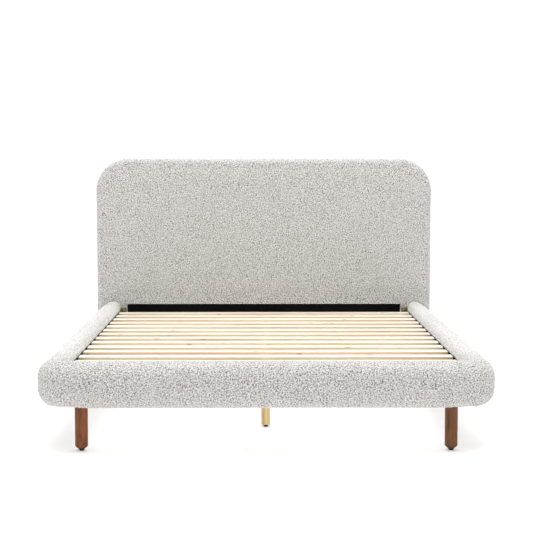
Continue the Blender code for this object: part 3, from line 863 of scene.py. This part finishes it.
# ------------------------------------------------------------------ materials
class Shader:
    """A Principled material whose nodes are added by short calls."""

    MIX_INPUTS = (0, 6, 7)  # a colour Mix node's factor and its two colours
    MIX_OUTPUT = 2

    def __init__(self, name, **values):
        self.material = bpy.data.materials.new(name)
        self.material.use_nodes = True
        self.tree = self.material.node_tree
        self.surface = self.tree.nodes["Principled BSDF"]
        for socket, value in values.items():
            self.surface.inputs[socket.replace("_", " ")].default_value = value
        self.place = self.add("ShaderNodeTexCoord").outputs["Object"]

    def add(self, kind, **settings):
        """A new node of this kind."""
        node = self.tree.nodes.new(kind)
        for key, value in settings.items():
            setattr(node, key, value)
        return node

    def link(self, output, target):
        """Joins a node's output to another's input."""
        self.tree.links.new(output, target)

    def stretched(self, scale, shift=(0, 0, 0)):
        """The object's coordinates times scale; a small scale draws a pattern out."""
        node = self.add("ShaderNodeMapping")
        node.inputs["Scale"].default_value = scale
        node.inputs["Location"].default_value = shift
        self.link(self.place, node.inputs["Vector"])
        return node.outputs["Vector"]

    def noise(self, scale, detail=2.0, vector=None, distortion=0.0, output="Fac"):
        """Noise at the object's coordinates, or at vector."""
        node = self.add("ShaderNodeTexNoise")
        node.inputs["Scale"].default_value = scale
        node.inputs["Detail"].default_value = detail
        node.inputs["Distortion"].default_value = distortion
        self.link(vector or self.place, node.inputs["Vector"])
        return node.outputs[output]

    def math(self, operation, a, b=0.0, clamp=False):
        """One sum of two outputs or numbers."""
        node = self.add("ShaderNodeMath", operation=operation, use_clamp=clamp)
        for socket, value in zip(node.inputs, (a, b)):
            if isinstance(value, (int, float)):
                socket.default_value = value
            else:
                self.link(value, socket)
        return node.outputs[0]

    def ramp(self, factor, stops):
        """Colours along factor; stops are (position, (red, green, blue))."""
        node = self.add("ShaderNodeValToRGB")
        elements = node.color_ramp.elements
        while len(elements) < len(stops):
            elements.new(0.5)
        for element, (position, colour) in zip(elements, stops):
            element.position = position
            element.color = (*colour, 1)
        self.link(factor, node.inputs["Fac"])
        return node.outputs["Color"]

    def mix(self, factor, a, b, blend="MIX"):
        """Two colours mixed; each of the three may be an output or a value."""
        node = self.add("ShaderNodeMix", data_type="RGBA", blend_type=blend)
        sockets = [node.inputs[i] for i in self.MIX_INPUTS]
        for socket, value in zip(sockets, (factor, a, b)):
            if isinstance(value, (int, float)):
                socket.default_value = value
            elif isinstance(value, tuple):
                socket.default_value = (*value, 1)
            else:
                self.link(value, socket)
        return node.outputs[self.MIX_OUTPUT]

    def bump(self, height, distance, strength):
        """Raises the surface by up to distance where height is 1."""
        node = self.add("ShaderNodeBump")
        node.inputs["Distance"].default_value = distance
        node.inputs["Strength"].default_value = strength
        self.link(height, node.inputs["Height"])
        self.link(node.outputs["Normal"], self.surface.inputs["Normal"])

    def colour(self, output):
        """Makes an output the surface's colour."""
        self.link(output, self.surface.inputs["Base Color"])

    def roughness(self, factor, low, high):
        """Roughness between low and high as factor goes from 0 to 1."""
        span = self.add("ShaderNodeMapRange")
        span.inputs["To Min"].default_value = low
        span.inputs["To Max"].default_value = high
        self.link(factor, span.inputs["Value"])
        self.link(span.outputs["Result"], self.surface.inputs["Roughness"])


def boucle_material():
    """Looped off-white yarn: pale loops over gaps painted grey as shade, curly close up, with a
    soft sheen.
    """
    s = Shader("boucle", Roughness=0.95, Sheen_Weight=0.6, Sheen_Roughness=0.4)
    s.surface.inputs["Specular IOR Level"].default_value = 0.1
    wander = s.add("ShaderNodeVectorMath", operation="MULTIPLY_ADD")
    s.link(s.noise(scale=260, detail=1, output="Color"), wander.inputs[0])
    wander.inputs[1].default_value = (LOOP, LOOP, LOOP)
    s.link(s.place, wander.inputs[2])
    curls = s.add("ShaderNodeTexVoronoi", feature="F1")
    curls.inputs["Scale"].default_value = 230
    s.link(wander.outputs[0], curls.inputs["Vector"])
    curl = s.math("SUBTRACT", 1.0, curls.outputs["Distance"], clamp=True)
    fibres = s.noise(scale=900, detail=2, vector=wander.outputs[0])
    pile = s.add("ShaderNodeAttribute", attribute_name="pile").outputs["Fac"]
    curl_share, fibre_share, pile_share = 0.45, 0.15, 0.40
    fine = s.math("MULTIPLY", fibres, fibre_share)
    coarse = s.math("MULTIPLY", pile, pile_share)
    height = s.math("MULTIPLY", curl, curl_share)
    height = s.math("ADD", height, s.math("ADD", fine, coarse))
    # painted shade: the colour darkens with the height, down into the gaps between the loops
    s.colour(s.ramp(height, BOUCLE_AND_GAP_SHADE))
    s.bump(height, distance=0.004, strength=0.8)
    return s.material


def along_grain(axis, across, along):
    """Scales for a pattern drawn out along one axis (0, 1 or 2)."""
    scale = list(across)
    scale[axis] = along
    return scale


def pine_material(name, axis, side_colours=PALE_PINE):
    """Planed pine with the grain along one axis: fine lines, soft bands and a few knots.

    Faces pointing up or down get paler colours as painted top light, and no two pieces are
    alike."""
    s = Shader(name, Roughness=0.4)
    own = s.add("ShaderNodeVectorMath", operation="SCALE")
    own.inputs[0].default_value = (9.0, 7.0, 5.0)
    s.link(s.add("ShaderNodeObjectInfo").outputs["Random"], own.inputs["Scale"])
    moved = s.add("ShaderNodeVectorMath", operation="ADD")
    s.link(s.place, moved.inputs[0])
    s.link(own.outputs[0], moved.inputs[1])
    s.place = moved.outputs[0]

    lines = s.stretched(along_grain(axis, across=(70, 70, 70), along=1.6))
    grain = s.noise(scale=1.0, detail=6, vector=lines, distortion=0.4)
    bands = s.stretched(along_grain(axis, across=(8, 8, 8), along=1.1), (3.1, 1.7, 0.4))
    broad = s.noise(scale=1.0, detail=2, vector=bands)
    # painted top light: the more a face points up or down, the more it takes the paler colours
    facing = s.add("ShaderNodeSeparateXYZ")
    s.link(s.add("ShaderNodeNewGeometry").outputs["Normal"], facing.inputs[0])
    top_light_share = s.math("ABSOLUTE", facing.outputs["Z"])
    wood = s.mix(top_light_share, s.ramp(grain, side_colours), s.ramp(grain, PAINTED_TOP_LIGHT_PINE))
    wood = s.mix(1.0, wood, s.ramp(broad, PINE_TINT), "MULTIPLY")

    knots = s.add("ShaderNodeTexVoronoi", feature="F1")
    knots.inputs["Scale"].default_value = 1.0
    spots = s.stretched(along_grain(axis, across=(11, 11, 30), along=9))
    s.link(spots, knots.inputs["Vector"])
    from_knot = s.math("MULTIPLY", knots.outputs["Distance"], 6.0)
    knot = s.math("SUBTRACT", 1.0, from_knot, clamp=True)
    s.colour(s.mix(s.math("MULTIPLY", knot, 0.8), wood, PINE_KNOT))
    s.roughness(grain, low=0.30, high=0.50)
    s.bump(grain, distance=0.0004, strength=0.5)
    return s.material


def walnut_material(name, tint):
    """Satin walnut with the grain running down the leg; its tip is darkened with painted shade
    near the floor.
    """
    s = Shader(name, Roughness=0.5)
    s.surface.inputs["Specular IOR Level"].default_value = 0.3
    lines, bands = s.stretched((120, 120, 6)), s.stretched((30, 30, 9), (0.2, 0.9, 0.4))
    grain = s.noise(scale=1.0, detail=6, vector=lines, distortion=0.8)
    broad = s.noise(scale=1.0, detail=3, vector=bands, distortion=1.2)
    both = s.math("ADD", s.math("MULTIPLY", grain, 0.5), s.math("MULTIPLY", broad, 0.5))
    wood = s.mix(1.0, s.ramp(both, WALNUT), tint, "MULTIPLY")
    height = s.add("ShaderNodeSeparateXYZ")
    s.link(s.place, height.inputs[0])
    # painted shade: the colour darkens towards the leg's tip at the floor
    tip = s.add("ShaderNodeMapRange", interpolation_type="SMOOTHSTEP")
    tip.inputs["From Min"].default_value = TIP_SHADE_TO
    tip.inputs["From Max"].default_value = TIP_SHADE_FROM
    tip.inputs["To Min"].default_value = TIP_SHADE_STRENGTH
    tip.inputs["To Max"].default_value = 0.0
    s.link(height.outputs["Z"], tip.inputs["Value"])
    s.colour(s.mix(tip.outputs["Result"], wood, TIP_SHADE_COLOUR))
    s.roughness(grain, low=0.40, high=0.60)
    s.bump(grain, distance=0.0003, strength=0.4)
    return s.material


def zinc_material():
    """Yellow-passivated zinc: a metal whose film shifts between gold, red and green."""
    s = Shader("zinc", Roughness=0.35, Metallic=1.0)
    s.colour(s.ramp(s.noise(scale=24, detail=1.5, distortion=0.3), ZINC_FILM))
    scratches = s.noise(scale=1.0, detail=4, vector=s.stretched((900, 900, 60)))
    s.roughness(scratches, low=0.25, high=0.48)
    s.bump(scratches, distance=0.0001, strength=0.3)
    return s.material


def lining_material():
    """Black non-woven cloth: flat fibres pressed together."""
    s = Shader("black_lining", Roughness=0.9)
    s.surface.inputs["Specular IOR Level"].default_value = 0.1
    fibres = s.noise(scale=420, detail=4, distortion=1.5)
    blotch = s.noise(scale=6, detail=2)
    both = s.math("ADD", s.math("MULTIPLY", fibres, 0.6), s.math("MULTIPLY", blotch, 0.4))
    s.colour(s.ramp(both, BLACK_LINING))
    s.bump(fibres, distance=0.0005, strength=0.6)
    return s.material


def coated_steel_material():
    """Black powder coat with its fine orange peel."""
    s = Shader("black_steel", Roughness=0.5)
    peel = s.noise(scale=700, detail=2)
    s.colour(s.ramp(s.noise(scale=40, detail=3), BLACK_COATING))
    s.roughness(peel, low=0.38, high=0.58)
    s.bump(peel, distance=0.0002, strength=0.5)
    return s.material


def plastic_material():
    """Matt black moulded plastic with a light spark-eroded grain."""
    s = Shader("black_plastic", Roughness=0.5)
    s.surface.inputs["Specular IOR Level"].default_value = 0.2
    grain = s.noise(scale=1500, detail=2)
    s.colour(s.ramp(s.noise(scale=90, detail=2), BLACK_PLASTIC))
    s.roughness(grain, low=0.45, high=0.62)
    s.bump(grain, distance=0.0001, strength=0.5)
    return s.material


def plywood_material():
    """Poplar plywood with a pale face grain across the headboard."""
    s = Shader("plywood", Roughness=0.6)
    lines = s.stretched((2.2, 40, 30))
    grain = s.noise(scale=1.0, detail=5, vector=lines, distortion=0.6)
    s.colour(s.ramp(grain, PLYWOOD))
    s.roughness(grain, low=0.5, high=0.7)
    s.bump(grain, distance=0.0003, strength=0.4)
    return s.material


# ------------------------------------------------------------------ stage, light and camera
def make_stage():
    """A pale floor without edges in view."""
    bm = bmesh.new()
    bmesh.ops.create_grid(bm, x_segments=1, y_segments=1, size=FLOOR_HALF_SIZE)
    s = Shader("studio_floor", Roughness=0.8, Emission_Strength=FLOOR_GLOW)
    s.surface.inputs["Emission Color"].default_value = WHITE
    s.colour(s.ramp(s.noise(scale=0.6, detail=2), STUDIO_FLOOR))
    floor = new_piece("studio_floor", bm, s.material, smooth=False)


def make_light():
    """A white cove, bright round the horizon, a wide lamp from above and two softboxes."""
    world = bpy.data.worlds.new("studio")
    world.use_nodes = True
    tree = world.node_tree
    background = tree.nodes["Background"]
    place = tree.nodes.new("ShaderNodeTexCoord")
    split = tree.nodes.new("ShaderNodeSeparateXYZ")
    fade = tree.nodes.new("ShaderNodeMapRange")
    fade.inputs["From Min"].default_value = COVE_FADE[0]
    fade.inputs["From Max"].default_value = COVE_FADE[1]
    fade.inputs["To Min"].default_value = COVE_HORIZON
    fade.inputs["To Max"].default_value = COVE_OVERHEAD
    tree.links.new(place.outputs["Generated"], split.inputs[0])
    tree.links.new(split.outputs["Z"], fade.inputs["Value"])
    tree.links.new(fade.outputs["Result"], background.inputs["Strength"])
    background.inputs["Color"].default_value = WHITE
    bpy.context.scene.world = world

    lamp = bpy.data.lights.new("overhead", "SUN")
    lamp.energy = OVERHEAD_POWER
    lamp.angle = math.radians(OVERHEAD_SPREAD)
    obj = bpy.data.objects.new("overhead", lamp)
    bpy.context.scene.collection.objects.link(obj)

    for name, (place, target, size, power) in SOFTBOXES.items():
        lamp = bpy.data.lights.new(name, "AREA")
        lamp.shape = "RECTANGLE"
        lamp.size, lamp.size_y = size
        lamp.energy = power
        obj = bpy.data.objects.new(name, lamp)
        obj.location = place
        aim = Vector(target) - Vector(place)
        obj.rotation_euler = aim.to_track_quat("-Z", "Y").to_euler()
        obj.visible_camera = False
        bpy.context.scene.collection.objects.link(obj)


def make_camera():
    """The photographer's place: in front of the foot end at chest height."""
    camera = bpy.data.cameras.new("camera")
    camera.lens = CAMERA_LENS
    camera.sensor_width = CAMERA_SENSOR
    obj = bpy.data.objects.new("camera", camera)
    obj.location = CAMERA_PLACE
    obj.rotation_euler = (math.radians(90 - CAMERA_DIP), 0, math.radians(CAMERA_TURN))
    bpy.context.scene.collection.objects.link(obj)
    bpy.context.scene.camera = obj
    bpy.context.scene.view_settings.view_transform = "Standard"


# ------------------------------------------------------------------ put together
def paint(material, *names):
    """Gives CAD nodes a finished material on their object's slots."""
    for name in names:
        node = NODES[name]
        if not node.material_slots:
            node.data.materials.append(material)
        for material_slot in node.material_slots:
            material_slot.link = "OBJECT"
            material_slot.material = material


def named(*starts):
    """The CAD nodes whose names start so."""
    return [name for name in NODES if name.startswith(starts)]


make_camera()
make_light()
make_stage()

boucle = boucle_material()
zinc = zinc_material()
plastic = plastic_material()
crossways = named("slat_0", "slat_1", "headboard_top", "headboard_lower", "headboard_bottom")
lined = named("side_rail_core", "footboard_core", "slat_ledge", "headboard_lining_board")
paint(pine_material("pine_across", 0), *crossways)
paint(pine_material("pine_lengthwise", 1), "centre_beam")
paint(pine_material("pine_upright", 2, GOLDEN_PINE), *named("centre_leg", "headboard_post"))
paint(walnut_material("walnut_red", RED_WALNUT), "leg_foot_left", "leg_head_right")
paint(walnut_material("walnut_brown", BROWN_WALNUT), "leg_foot_right", "leg_head_left")
paint(zinc, *named("corner_bracket"))
paint(lining_material(), *lined)
paint(coated_steel_material(), *named("beam_saddle"))
paint(plastic, *named("glide_"))
paint(plywood_material(), "headboard_front_panel")

noise.seed_set(NOISE_SEED)
headboard_pad(boucle)
headboard_back_cover(boucle)
footboard_pad(boucle)
for label, side in (("left", -1), ("right", 1)):
    side_rail_pad(label, side, boucle)
for number in (1, 2, 3):
    levelling_foot(number, plastic, zinc)
for name in named("head_bolt", "foot_bolt"):
    button_bolt(name, zinc)
